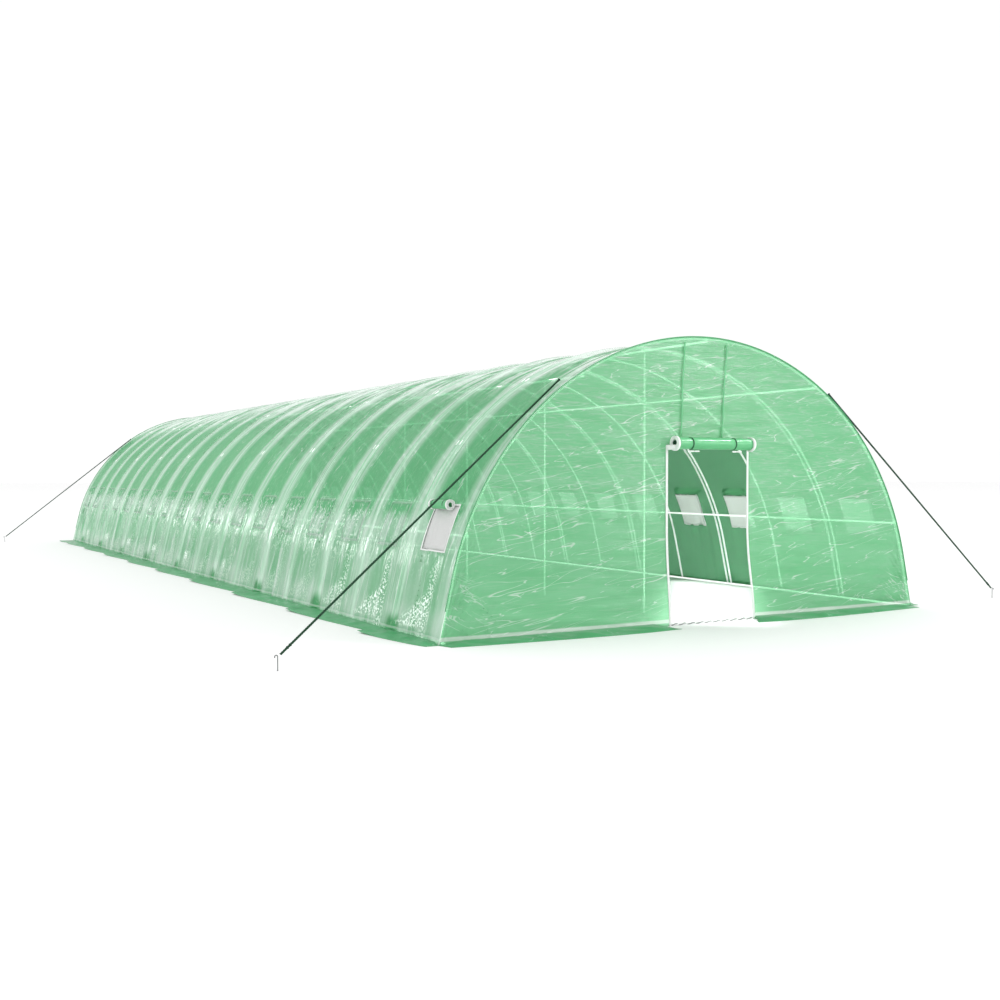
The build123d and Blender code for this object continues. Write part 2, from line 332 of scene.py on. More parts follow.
class Graph:
    """A short way to add nodes to a tree and to link or set their inputs. Outputs go by name or by
    number."""

    def __init__(self, tree):
        self.tree = tree

    def link(self, value, socket):
        self.tree.links.new(value.socket, socket)

    def add(self, kind, inputs=(), **settings):
        node = self.tree.nodes.new(kind)
        for name, value in settings.items():
            setattr(node, name, value)
        for key, value in dict(inputs).items():
            if isinstance(value, Value):
                self.link(value, node.inputs[key])
            else:
                node.inputs[key].default_value = value
        values = [Value(self, socket) for socket in node.outputs]
        return {**dict(zip(node.outputs.keys(), values)), **dict(enumerate(values))}

    def group(self, tree, **inputs):
        named = {name.replace("_", " "): value for name, value in inputs.items()}
        return self.add("ShaderNodeGroup", named, node_tree=tree)

    def math(self, operation, *values):
        return self.add("ShaderNodeMath", dict(enumerate(values)), operation=operation)[0]

    def mix(self, factor, first, second):
        return self.add("ShaderNodeMix", {0: factor, 6: first, 7: second}, data_type="RGBA")[2]

    def vectors(self, operation, first, second):
        return self.add("ShaderNodeVectorMath", {0: first, 1: second}, operation=operation)[0]

    def place(self, scale=(1, 1, 1)):
        return self.vectors("MULTIPLY", self.add("ShaderNodeTexCoord")["Object"], scale)

    def axes(self, scale=(1, 1, 1)):
        return self.add("ShaderNodeSeparateXYZ", {0: self.place(scale)})

    def noise(self, where, scale, detail, distortion=0.0):
        inputs = {"Vector": where, "Scale": scale, "Detail": detail, "Distortion": distortion}
        return self.add("ShaderNodeTexNoise", inputs)[0]

    def cloud(self, stretch, detail, distortion=0.0):
        return self.noise(self.place(stretch), 1.0, detail, distortion)

    def bump(self, height, strength, distance):
        inputs = {"Height": height, "Strength": strength, "Distance": distance}
        return self.add("ShaderNodeBump", inputs)[0]


def new_group(name, starts, *outputs):
    """A shader node group with named inputs, given with their starting values, and named value outputs."""
    tree = bpy.data.node_groups.new(name, "ShaderNodeTree")
    for label, start in starts.items():
        kind = "NodeSocketVector" if isinstance(start, tuple) else "NodeSocketFloat"
        tree.interface.new_socket(label, in_out="INPUT", socket_type=kind).default_value = start
    for label in outputs:
        tree.interface.new_socket(label, in_out="OUTPUT", socket_type="NodeSocketFloat")
    graph = Graph(tree)
    return graph, graph.add("NodeGroupInput"), tree.nodes.new("NodeGroupOutput").inputs


def crease_group():
    """Creases of thin film: noise, turned about Y and stretched by a vector, gives the height, and thin
    lines along its middle value, broken up by a second noise, give the glints, for painted highlights."""
    starts = {"Stretch": (1, 1, 1), "Line Width": 0.02, "Threshold": 0.55, "Slant": 0.0}
    graph, given, out = new_group("film_creases", starts, "Height", "Glint")
    turned = {"Vector": graph.place(), "Angle": given["Slant"]}
    where = graph.add("ShaderNodeVectorRotate", turned, rotation_type="Y_AXIS")[0]
    where = graph.vectors("MULTIPLY", where, given["Stretch"])
    noise = graph.noise(where, 1.0, 2.0, 0.6)
    patches = graph.noise(graph.vectors("ADD", where, (7.3, 1.9, 4.4)), 0.9, 1.0)
    fine = graph.noise(where, 3.7, 3.0, 0.4)
    line = abs(noise - 0.5).fade(0.0, given["Line Width"])
    patch = patches.grow(given["Threshold"], given["Threshold"] + 0.07)
    graph.link(noise + 0.12 * line + 0.22 * fine, out["Height"])
    graph.link(line * patch, out["Glint"])
    return graph.tree


def sheen_band_group():
    """Painted sheen: pale bands of the film over the hoops, wider at the double ones, each with a thin
    line of painted shadow down its middle."""
    starts = {"Single Width": 0.1, "Double Width": 0.2, "Uneven": 0.05}
    graph, given, out = new_group("hoop_sheen_bands", starts, "Mask")
    shift = (graph.cloud((1.3, 2.6, 1.3), 3.0) - 0.5) * given["Uneven"]
    single = (graph.axes()["Y"] - FIRST_HOOP + shift).to_and_fro(PITCH)
    double = PITCH - single
    single_sheen = (single / given["Single Width"]).fade(0.25, 1.0)
    double_sheen = (double / given["Double Width"]).fade(0.25, 1.0)
    # middle is zero on each hoop, where the sheen is darkened into a thin painted shadow line
    middle = single.least(double).grow(0.0, 0.03)
    graph.link(single_sheen.most(double_sheen) * (0.55 + 0.45 * middle), out["Mask"])
    return graph.tree


def glitter_group():
    """Painted highlights of crumpled film low on a wall: in each bay a three-cornered patch of bright
    specks, with a few above its tip, and away from the door fewer of them but a bright spot before each
    double hoop."""
    graph, given, out = new_group("wall_glitter", {"Specks": 40.0}, "Mask")
    place = graph.axes()
    along, height = place["Y"], place["Z"]
    share = ((along - (FIRST_HOOP + 0.1)) / PITCH).fraction()
    patch = (0.66 - 0.62 * share - height).grow(0.0, 0.1) * height.grow(0.07, 0.12)
    patch = patch * share.grow(0.18, 0.26) * share.fade(0.86, 0.96)
    column = abs(share - 0.26).fade(0.02, 0.1) * height.fade(0.55, 0.85)
    speck = graph.noise(graph.place(), given["Specks"], 1.0).grow(0.5, 0.57)
    specks = patch.most(0.7 * column) * speck * (1 - 0.65 * along.grow(-7.3, -5.5))
    from_spot = (along - (FIRST_HOOP + PITCH - 0.38)).to_and_fro(PITCH)
    spot = from_spot.fade(0.03, 0.17) * abs(height - 0.26).fade(0.02, 0.09) * along.grow(-4.5, -1.0)
    graph.link(specks.most(spot * (speck + 0.4)), out["Mask"])
    return graph.tree


def thread_group():
    """Threads of a woven cloth: thin lines at equal distances along each axis."""
    starts = {"Threads": (100, 100, 100), "Thread Share": 0.2}
    graph, given, out = new_group("thread_grid", starts, "Mask")
    place = graph.axes(given["Threads"])
    half = given["Thread Share"] * 0.5
    x, y, z = (place[axis].to_and_fro(0.5).below(half) for axis in "XYZ")
    graph.link(x.most(y).most(z), out["Mask"])
    return graph.tree


CREASES = crease_group()
SHEEN_BANDS = sheen_band_group()
GLITTER = glitter_group()
THREADS = thread_group()


def new_material(name, colour, roughness, **constants):
    """A material with its shader's fixed values set, and the graph to add its pattern with."""
    material = bpy.data.materials.new(name)
    material.use_nodes = True
    shader = material.node_tree.nodes["Principled BSDF"]
    shader.inputs["Base Color"].default_value = (*colour, 1)
    shader.inputs["Roughness"].default_value = roughness
    for label, value in constants.items():
        shader.inputs[label.replace("_", " ")].default_value = value
    return material, Graph(material.node_tree), shader.inputs


def finish_film(graph, shader, greens, pale, tone, mask, glint, height, bump):
    """Give film its colours and bumps: two greens mixed by a tone, pale where a mask is set, which is
    mostly painted sheen and highlights, and pale along glints, which also feed the emission colour as
    painted highlights. Like the mask, the glints show on its outer face only."""
    outside = 1 - graph.add("ShaderNodeNewGeometry")["Backfacing"]
    glint = glint.least(1.0) * outside
    mask = (mask.least(1.0) * outside).most(glint)
    green = graph.mix(tone, (*greens[0], 1), (*greens[1], 1))
    graph.link(graph.mix(mask, green, (*pale, 1)), shader["Base Color"])
    # The glints glow through the emission colour as painted highlights.
    graph.link(graph.mix(glint, (0, 0, 0, 1), (1, 1, 1, 1)), shader["Emission Color"])
    graph.link(0.4 + 0.5 * mask, shader["Coat Weight"])
    graph.link(graph.bump(height, bump * 0.15, 0.02), shader["Normal"])
    graph.link(graph.bump(height, bump, 0.02), shader["Coat Normal"])


def film_shader(name, colour, through):
    """A thin clear film with a smooth coat, whose painted highlights glow a little brighter than white paint.
    """
    return new_material(
        name, colour, 0.02, Transmission_Weight=through, IOR=1.001, Coat_Roughness=0.09, Emission_Strength=0.4
    )


def hem_line(height, half):
    """The pale welded line just above the ground, with half its width given."""
    return abs(height - 0.05).fade(half * 0.4, half)


def hoop_sheen(graph, crest):
    """Painted sheen in pale bands over the hoops, wider at the crest and with a fine grain across them."""
    widths = {"Single_Width": 0.16 * crest + 0.22, "Double_Width": 0.16 * crest + 0.29}
    grain = graph.cloud((1.6, 30.0, 1.6), 3.0).grow(0.25, 0.6)
    return graph.group(SHEEN_BANDS, Uneven=0.1, **widths)["Mask"] * (0.3 + 0.7 * grain)


def wall_paleness_and_sheen(graph, height, streak_highlight, sheen):
    """How pale a wall is: painted highlights along its streaks, haze, painted sheen in faint bands over
    its hoops, a pale foot, and more from the windows up."""
    haze = graph.cloud((0.5, 5.0, 1.2), 3.0).grow(0.3, 0.75)
    foot = height.grow(0.04, 0.1) * height.fade(0.18, 0.35)
    upper = height.grow(0.75, 0.95)
    return 0.14 + 0.65 * streak_highlight + 0.4 * haze + 0.25 * sheen + 0.2 * foot + 0.16 * upper


def window_weld_and_light(beside, height):
    """The pale welded edge round each window, from the share of a bay beside its middle and the height.
    Taken as a weld, it also paints light over the thin dark line of shade round each shut flap.
    """
    upper, lower = (vault(girth)[1] for girth in (WINDOW_HIGH, WINDOW_LOW))
    half = (upper - lower) / 2
    level = abs(height - (upper + lower) / 2)
    sides = abs(beside - WINDOW_WIDTH / 2 / PITCH).fade(0.004, 0.02) * level.fade(0.2, half + 0.02)
    top_and_foot = abs(level - half).fade(0.004, 0.02) * beside.fade(0.22, 0.245)
    return sides.most(top_and_foot)


def window_crumple_glints(graph, along, beside, height):
    """Painted highlights: bright lines along crumpled film, strongest at the windows and away from the door.
    """
    crumple = graph.group(CREASES, Stretch=(11, 24, 11), Line_Width=0.05, Threshold=0.46)["Glint"]
    at_windows = height.grow(0.45, 0.8) * height.fade(1.05, 1.3) * beside.fade(0.28, 0.48)
    return crumple * (0.06 + at_windows * (0.3 + 0.5 * along.grow(-8.0, -6.0)))


def cover_material(name, shade):
    """Film of the cover: painted sheen in pale streaky bands over the hoops of the roof, wider towards the
    ridge, with painted reflection in patches at the crest, and below them a paler wall with painted
    highlights along upright creases and crumples at the windows, a hem, painted glitter, and painted
    shade in the folds at the gathers near the ground. A shade above one brightens its colours as painted
    light."""
    material, graph, shader = film_shader(name, (0.14, 0.53, 0.25), 0.4)
    place = graph.axes()
    height = place["Z"]
    along = place["Y"] - FIRST_HOOP
    beside = abs((along / PITCH).fraction() - 0.5)
    uneven = 0.3 * (graph.cloud((2.0, 9.0, 2.0), 4.0) - 0.5)
    low = (height + uneven).fade(0.99, 1.15)
    high = 1 - low
    crest = height.grow(2.2, 2.75)
    # Painted reflection: pale patches near the crest, which also glow as painted highlights below.
    patch = crest * graph.cloud((1.5, 6.0, 1.5), 4.0, 0.8).grow(0.42, 0.6)
    creases = graph.group(CREASES, Stretch=(2.4, 9.0, 2.4), Line_Width=0.02, Threshold=0.58)
    streaks = graph.group(CREASES, Stretch=(0.6, 12.0, 0.7), Line_Width=0.03, Threshold=0.46)
    sheen = hoop_sheen(graph, crest)
    # Painted sheen and highlights make most of the pale of wall and roof, with the crest's painted
    # reflection.
    wall = wall_paleness_and_sheen(graph, height, streaks["Glint"], sheen)
    roof = 0.55 * creases["Glint"] + 0.72 * sheen + patch
    # Painted shade in the folds at each gather near the ground: spread drops there and darkens the tone.
    from_gather = PITCH - along.to_and_fro(PITCH)
    spread = 1 - from_gather.fade(0.05, 0.24) * (height + 0.5 * uneven).fade(0.09, 0.22)
    mask = (wall * low + roof * high) * spread
    mask = mask + 0.4 * hem_line(height, 0.014) + 0.3 * window_weld_and_light(beside, height)
    # Glowing painted highlights: the glitter, the crest's reflection and the crumples.
    glint = graph.group(GLITTER, Specks=42.0)["Mask"] + 0.4 * patch
    glint = glint + window_crumple_glints(graph, place["Y"], beside, height)
    tone = (0.5 + 0.44 * graph.cloud((0.8, 3.0, 0.8), 3.0)) * spread
    folds = creases["Height"] * high + streaks["Height"] * low
    colours = np.array([(0.05, 0.38, 0.12), (0.17, 0.62, 0.29), (0.78, 1.0, 0.86)])
    *greens, pale = np.minimum(colours * shade, 1)
    finish_film(graph, shader, greens, pale, tone, mask, glint, folds, 0.4)
    return material


def end_material():
    """Film of the ends: painted highlights along fine level wrinkles, mostly high up, along long ones that
    rise to the right and in the crumpled lower corners, and a pale hem near the ground that also glows
    as a painted highlight."""
    material, graph, shader = film_shader("film_end", (0.37, 0.92, 0.52), 0.6)
    place = graph.axes()
    height = place["Z"]
    wrinkles = graph.group(CREASES, Stretch=(1.7, 1.7, 24.0), Line_Width=0.04, Threshold=0.42)
    fine = graph.group(CREASES, Stretch=(5.0, 5.0, 50.0), Line_Width=0.08, Threshold=0.45)
    long = graph.group(CREASES, Stretch=(0.9, 0.9, 9.0), Line_Width=0.011, Threshold=0.5, Slant=0.17)
    rising = graph.group(CREASES, Stretch=(1.6, 1.6, 14.0), Line_Width=0.015, Threshold=0.54, Slant=0.26)
    crumple = graph.group(CREASES, Stretch=(3.5, 3.5, 20.0), Line_Width=0.035, Threshold=0.46, Slant=-0.5)
    across, up = abs(place["X"]) - 2.85, height - 0.3
    corner = (across * across + up * up).fade(0.02, 0.14)
    upper = height.grow(0.7, 1.8)
    # Painted highlights along the long and rising creases and in the crumpled corners.
    lines = 0.6 * long["Glint"] + 0.55 * rising["Glint"] + 0.5 * crumple["Glint"] * corner
    hem = hem_line(height, 0.024) * (0.4 + wrinkles["Height"])
    wrinkled = wrinkles["Glint"] * (0.1 + 0.22 * upper) + fine["Glint"] * (0.03 + 0.16 * upper)
    mask = wrinkled + lines + 0.8 * hem
    tone = graph.cloud((1.2, 1.2, 9.0), 4.0)
    greens = (0.26, 0.83, 0.40), (0.48, 1.0, 0.63)
    # Glow of painted highlights along those lines and the hem.
    glint = 0.5 * lines + 0.35 * hem
    finish_film(graph, shader, greens, (0.97, 1.0, 0.98), tone, mask, glint, wrinkles["Height"], 0.5)
    return material


def thick_material(name, dark, light, through):
    """Film that lies in several layers, as in the rolls and the flaps on the ground, with soft creases
    whose glints are painted pale as highlights.
    """
    material, graph, shader = new_material(
        name, dark, 0.32, Transmission_Weight=through, IOR=1.1, Coat_Roughness=0.15
    )
    creases = graph.group(CREASES, Stretch=(5, 5, 5), Line_Width=0.02, Threshold=0.58)
    tone = graph.cloud((3, 3, 3), 4.0)
    glint = 0.3 * creases["Glint"]
    finish_film(graph, shader, (dark, light), (0.9, 1.0, 0.94), tone, glint, glint, creases["Height"], 0.2)
    return material


def inside_material():
    """The inner face of the film: mostly clear, tinted grey as painted shade that darkens what is seen
    inside the tunnel, and a little uneven in tone.
    """
    material, graph, shader = new_material(
        "film_inside", (0.42, 0.58, 0.46), 0.02, Transmission_Weight=0.9, IOR=1.001
    )
    tone = graph.cloud((1.5, 3.0, 1.5), 4.0)
    graph.link(graph.mix(tone, (0.38, 0.54, 0.42, 1), (0.46, 0.63, 0.51, 1)), shader["Base Color"])
    return material


def mottled_material(name, dark, light, grain, detail, uneven, **constants):
    """A hard finish, such as paint or zinc, with mottling of a given grain that is rougher where it is
    paler."""
    material, graph, shader = new_material(name, light, 0.4, **constants)
    noise = graph.cloud((grain, grain, grain), detail)
    graph.link(graph.mix(noise, (*dark, 1), (*light, 1)), shader["Base Color"])
    graph.link(0.25 + uneven * noise, shader["Roughness"])
    return material


def woven_material(name, dark, light, threads, share, open_share=0.0):
    """Woven cloth, tape or net: a grid of threads over its gaps, which let through what is behind on a
    net."""
    material, graph, shader = new_material(name, light, 0.75)
    grid = graph.group(THREADS, Threads=(threads, threads, threads), Thread_Share=share)["Mask"]
    tone = 0.7 * grid + 0.3 * graph.cloud((6, 6, 6), 4.0)
    graph.link(graph.mix(tone, (*dark, 1), (*light, 1)), shader["Base Color"])
    graph.link(graph.bump(grid, 0.4, 0.001), shader["Normal"])
    if open_share:
        graph.link(1.0 - open_share + open_share * grid, shader["Alpha"])
    return material


film_cover = cover_material("film_cover", 1.0)
# The cover's film painted 7% brighter as painted light, for the dimmer net behind the shut flaps.
film_shut_lit = cover_material("film_shut_lit", 1.07)
film_end = end_material()
film_inside = inside_material()
film_flap = thick_material("film_flap", (0.06, 0.35, 0.13), (0.16, 0.53, 0.26), 0.1)
film_roll = thick_material("film_roll", (0.12, 0.52, 0.22), (0.20, 0.64, 0.31), 0.2)
film_strap = thick_material("film_strap", (0.17, 0.60, 0.29), (0.26, 0.72, 0.38), 0.3)
# Roll film painted pale as painted light, so the right rolls don't show dark through the cover.
film_roll_lit = thick_material("film_roll_lit", (0.62, 0.84, 0.70), (0.80, 0.94, 0.85), 0.5)
tube_white = mottled_material(
    "tube_white", (0.85, 0.87, 0.86), (0.96, 0.97, 0.96), 9, 5.0, 0.25, Coat_Weight=0.2
)
peg_steel = mottled_material("peg_steel", (0.12, 0.13, 0.13), (0.32, 0.33, 0.33), 60, 3.0, 0.3, Metallic=0.8)
net_cloth = woven_material("net_cloth", (0.52, 0.53, 0.52), (0.76, 0.77, 0.76), 260, 0.5, open_share=0.4)
tape_white = woven_material("tape_white", (0.82, 0.84, 0.82), (0.97, 0.98, 0.97), 300, 0.6)
strap_dark = woven_material("strap_dark", (0.01, 0.06, 0.03), (0.02, 0.11, 0.05), 400, 0.6)
cord_grey = woven_material("cord_grey", (0.25, 0.27, 0.26), (0.40, 0.42, 0.41), 400, 0.6)
rope_green = woven_material("rope_green", (0.002, 0.022, 0.01), (0.006, 0.06, 0.024), 500, 0.6)


# Tubes: hoops, long tubes and posts

def hoop(y):
    """One round hoop just inside the film, from foot to foot."""
    girth = steps((0.0, 0), (LEG, 4), (LEG + ARC, 56), (GIRTH, 4))
    x, z = vault(girth, -TUBE_GAP - TUBE)
    return bar(points_of(x, y, np.maximum(z, ON_GROUND)), TUBE)


def long_tube(x, z):
    """One straight tube along the whole tunnel."""
    y = np.linspace(FRONT + 0.006, -FRONT - 0.006, 19)
    return bar(points_of(x, y, z), TUBE)


def clip(y, degree):
    """A sleeve round a hoop, where a long tube crosses it or two of its lengths meet."""
    turn = degree + np.degrees(np.linspace(-0.03, 0.03, 5) / BEND)
    x, z = round_bend(turn, -TUBE_GAP - TUBE)
    return bar(points_of(x, y, z), radius=0.0165, sides=8)


HOOP_NODES = [f"{side}_{part}" for side in SIDES for part in ("legs", "haunch_tubes", "roof_tubes")]
hoops = piece("hoops", joined(hoop(y) for y in TUBES), tube_white, "frame_tube", *HOOP_NODES)
frame_pieces = [hoops]
for name, degree in PURLINS.items():
    x, z = round_bend(degree, -TUBE_GAP - 3 * TUBE)
    sides = [0.0] if name == "ridge_purlin" else [x, -x]
    part = joined(long_tube(side, z) for side in sides)
    frame_pieces.append(piece(name + "_tube", part, tube_white, "frame_tube", name))
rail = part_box("base_rails")[1].x - TUBE
part = joined([long_tube(rail, TUBE), long_tube(-rail, TUBE)])
frame_pieces.append(piece("base_rails_tube", part, tube_white, "frame_tube", "base_rails"))
post_top = HEIGHT - TUBE_GAP - 4 * TUBE
part = joined(bar(points_of(0.0, y, np.linspace(0, post_top, 6)), TUBE) for y in GATHERS)
posts = piece("posts", part, tube_white, "frame_tube", "centre_posts")
CLIPS = {angle for degree in (*PURLINS.values(), TUBE_JOINT) for angle in (degree, 180 - degree)}
part = joined(clip(y, degree) for y in TUBES for degree in sorted(CLIPS))
frame_pieces.append(piece("hoop_clips", part, tube_white, "frame_tube"))


# Film over the hoops

def cover_out(y, girth):
    """How far the cover stands out from the arch: it sags in a parabola between the hoops, more on the
    roof, and upright folds grow towards the ground, but round the windows it stays clear of the nets and
    the long tube."""
    edge = np.minimum(girth, GIRTH - girth)
    along = y + 31.0 * (girth > GIRTH / 2)
    slack = 4 * in_bay(y) * (1 - in_bay(y))
    high = smooth(edge, WALL_TOP - 0.3, WALL_TOP + 1.0)
    loose = 1 - smooth(edge, 0.7, WALL_TOP)
    folds = 0.009 * ripple(edge, along, 11, 30, (1.2, 6.0), (0.15, 0.45)) * loose * np.minimum(2 * slack, 1)
    creases = 0.0035 * ripple(edge, along, 3, 24, (0.7, 2.5), (0.2, 0.6)) * slack * high
    deepest = -0.021 - 0.03 * (1 - smooth(edge, 0.6, 0.78)) - 0.03 * smooth(edge, 1.3, 1.5)
    return np.maximum(folds + creases - slack * (0.012 + 0.016 * high), deepest)


# Lines of the cover's grid through one bay and up one wall, and those of them that a window takes
BAY_LINES = PITCH * steps((0.0, 0), (0.2745, 7), (0.7255, 8), (1.0, 7))
WALL_LINES = steps((0.0, 0), (WINDOW_LOW, 18), (WINDOW_HIGH, 8), (WALL_TOP, 4))
WINDOW_ALONG = BAY_LINES[7:16]
WINDOW_UP = WALL_LINES[18:27]


def cover_film():
    """The cover in one sheet from foot to foot, with a hole for each window."""
    y = np.concatenate([[FRONT], (HOOPS[:-1, None] + BAY_LINES[:-1]).ravel(), HOOPS[-1:], [-FRONT]])[:, None]
    roof = np.linspace(WALL_TOP, GIRTH - WALL_TOP, 41)[1:-1]
    girth = np.concatenate([WALL_LINES, roof, GIRTH - WALL_LINES[::-1]])[None, :]
    x, z = vault(girth, cover_out(y, girth))
    edge = np.minimum(girth, GIRTH - girth)
    middle = (edge[:, 1:] + edge[:, :-1]) / 2
    beside = np.abs(in_bay((y[1:] + y[:-1]) / 2) - 0.5) * PITCH < WINDOW_WIDTH / 2
    window = beside & (middle > WINDOW_LOW) & (middle < WINDOW_HIGH)
    return sheet(points_of(x, y, np.maximum(z, 0.0)), COVER_FILM, ~window)


STRIPS = [f"{side}_roof_strip_{number}" for side in SIDES for number in (1, 2, 3, 4)]
WALLS = [f"{side}_{part}_wall" for side in SIDES for part in ("lower", "window")]
cover = piece("cover", cover_film(), film_cover, "cover_film", *STRIPS, *WALLS, lining=film_inside)
window_area = 2 * BAYS * WINDOW_WIDTH * (WINDOW_HIGH - WINDOW_LOW)
GIRTH * LENGTH - window_area


# Ends

def askew(x, z, front):
    """Places across the film of an end. At the front the loose film beside the doorway hangs out of line,
    more near the ground and more on the right."""
    beside = front * np.exp(-np.clip(np.abs(x) - DOOR_HALF, 0, None) / 0.35)
    drop = (1 - smooth(z, 0.0, 1.1)) ** 1.5
    return x + beside * np.where(x > 0, 0.1 * drop, 0.03 * (1 - smooth(z, 1.8, 2.4)) + 0.05 * drop)


def end_film(seed, front):
    """The film of the front end with its doorway: columns from the ground to the arch's outline, level
    wrinkles all over, slanted folds in the lower corners, and a slight bulge away from the door."""
    edge = HALF - 0.012
    x = steps((-edge, 0), (-DOOR_HALF, 60), (DOOR_HALF, 26), (edge, 60))[None, :]
    top = end_height(np.abs(x) + 0.007) - 0.004
    door = np.abs(x) <= DOOR_HALF + 1e-6
    split = np.where(door, DOOR_HEIGHT, np.minimum(DOOR_HEIGHT * top / end_height(DOOR_HALF), top * 0.7))
    below = np.linspace(0, 1, 69)[:, None]
    above = np.linspace(0, 1, 46)[1:, None]
    z = np.concatenate([below * split, split + above * (top - split)])
    x = np.broadcast_to(x, z.shape)
    inside = smooth(top - z, 0.0, 0.25)
    away = smooth(np.abs(x), DOOR_HALF, 1.3)
    wrinkle = ripple(x, z, seed, 36, (0.35, 1.6), (0.06, 0.24))
    patchy = 0.35 + 0.65 * smooth(ripple(x, z, seed + 1, 12, (0.8, 3.0), (0.4, 1.5)), -0.8, 1.2)
    corner = np.exp(-((np.abs(x) - 2.75) ** 2 + (z - 0.25) ** 2) / 0.16)
    slant = ripple(np.abs(x) + z, z - np.abs(x), seed + 2, 8, (0.8, 2.0), (0.08, 0.2))
    out = inside * (0.0025 * wrinkle * patchy * (0.2 + 0.8 * away) + 0.007 * slant * corner)
    out = out + 0.012 * smooth(top - z, 0, 1.0) * away
    grid = points_of(askew(x, z, front), FRONT - out, z)
    opening = (np.abs(x[1:, 1:] + x[1:, :-1]) / 2 < DOOR_HALF) & ((z[1:, 1:] + z[:-1, 1:]) / 2 < DOOR_HEIGHT)
    return sheet(grid, keep=~opening)


end_parts = {"front": end_film(31, True), "rear": mirrored(end_film(41, False), 1)}
ends = {}
for name, part in end_parts.items():
    nodes = [f"{name}_left_panel", f"{name}_right_panel", f"{name}_door_head"]
    ends[name] = piece(f"{name}_end_film", part, film_end, "cover_film", *nodes, lining=film_inside)

z = np.linspace(ON_GROUND, DOOR_HEIGHT, 61)
z, x = np.meshgrid(z, np.linspace(-DOOR_HALF, DOOR_HALF, 41), indexing="ij")
grid = points_of(x, FRONT - 0.002 - 0.002 * ripple(x, z, 51, 24, (0.3, 1.0), (0.06, 0.25)), z)
leaf = mirrored(sheet(grid), 1)
rear_leaf = piece("rear_leaf", leaf, film_end, "cover_film", "rear_door_leaf", lining=film_inside)


def edge_binding():
    """The doubled dark edge of the cover along the front arch."""
    girth = steps((0.3, 0), (LEG, 4), (LEG + ARC, 90), (GIRTH - 0.3, 4))
    x, z = vault(girth, 0.001)
    return bar(points_of(x, FRONT - 0.001, z), 0.005, 8)


piece("edge_bindings", doubled(edge_binding(), 1), film_flap, "cover_film")


# Door

ROLL = (-9.0716, 1.79)
ROLL_SPAN = (-0.47, 0.523)
ROLL_TAPE = 0.025
TIES = (-0.27, 0.276)

span = (ROLL_SPAN[0] + ROLL_TAPE + 0.001, ROLL_SPAN[1] - ROLL_TAPE - 0.001)
part = rolled(ROLL, 0, span, core=0.028, outer=0.056, turns=6.2, thickness=0.0035, columns=41, pinches=TIES)
door_roll = piece("door_roll_film", part, film_roll, "cover_film", "door_roll")
tips = [(ROLL_SPAN[0], ROLL_SPAN[0] + ROLL_TAPE), (ROLL_SPAN[1] - ROLL_TAPE, ROLL_SPAN[1])]
part = joined(rolled(ROLL, 0, tip, core=0.030, outer=0.070, turns=6.3, thickness=0.0045) for tip in tips)
tail = points_of(np.linspace(-0.515, -0.46, 9), np.linspace(FRONT - 0.007, ROLL[0] - 0.03, 9), 1.75)
part = joined([part, ribbon(tail, (0, 0, 1), 0.05)])
door_tape = piece("door_roll_tape", part, tape_white, "white_tape")
# Painted shade: a dark sheet rolled inside the door roll stands for its dark hollow.
span = (ROLL_SPAN[0] + 0.004, ROLL_SPAN[1] - 0.004)
part = rolled(ROLL, 0, span, core=0.019, outer=0.026, turns=2.0, thickness=0.002, columns=21)
piece("door_roll_shade_core", part, strap_dark, "dark_strap")


def strap(top, low):
    """A strap that hangs in front of the film above the door."""
    share = np.linspace(0, 1, 25)
    x = low[0] + (top[0] - low[0]) * share + 0.004 * np.sin(9 * share)
    return ribbon(points_of(x, FRONT - 0.016, low[1] + (top[1] - low[1]) * share), (1, 0, 0), 0.016)


def toggle(place):
    """A short turned stick with rounded ends and a groove in the middle, under the rolled door."""
    x = np.linspace(-0.065, 0.065, 21)
    groove = 1 - 0.35 * np.exp(-((x / 0.008) ** 2))
    radius = 0.008 * np.sqrt(np.clip(1 - (x / 0.0655) ** 8, 0.02, 1)) * groove
    return bar(points_of(x + place, ROLL[0] - 0.01, ROLL[1] - 0.076), radius)


straps = [strap((-0.297, 2.785), (-0.342, 1.86)), strap((0.242, 2.785), (0.177, 1.86))]
bands = [tie_band(ROLL, 0, place, radius=0.0565, width=0.013) for place in TIES]
piece("door_ties", joined(bands), strap_dark, "dark_strap", "door_roll_ties")
piece("door_straps", joined(straps), film_strap, "cover_film")
piece("door_toggles", joined(toggle(place + 0.045) for place in TIES), tape_white, "white_tape")


def zip_side(sign, front):
    """A zip down one side of the doorway: a tape along the film's edge, and a coil of teeth beside it."""
    z = np.linspace(ON_GROUND, DOOR_HEIGHT + 0.03, 59)
    x = np.full_like(z, sign * (DOOR_HALF + 0.004))
    tape = ribbon(points_of(askew(x, z, front), FRONT - 0.0045, z), (1, 0, 0), 0.026, 0.003)
    z = np.linspace(0.01, DOOR_HEIGHT + 0.02, 801)
    x = np.full_like(z, sign * (DOOR_HALF - 0.004))
    turn = np.linspace(0, 2 * math.pi * 100, 801)
    x = askew(x, z, front) + 0.004 * np.cos(turn)
    coil = bar(points_of(x, FRONT - 0.004 + 0.0035 * np.sin(turn), z), 0.0016, 4)
    return joined([tape, coil])


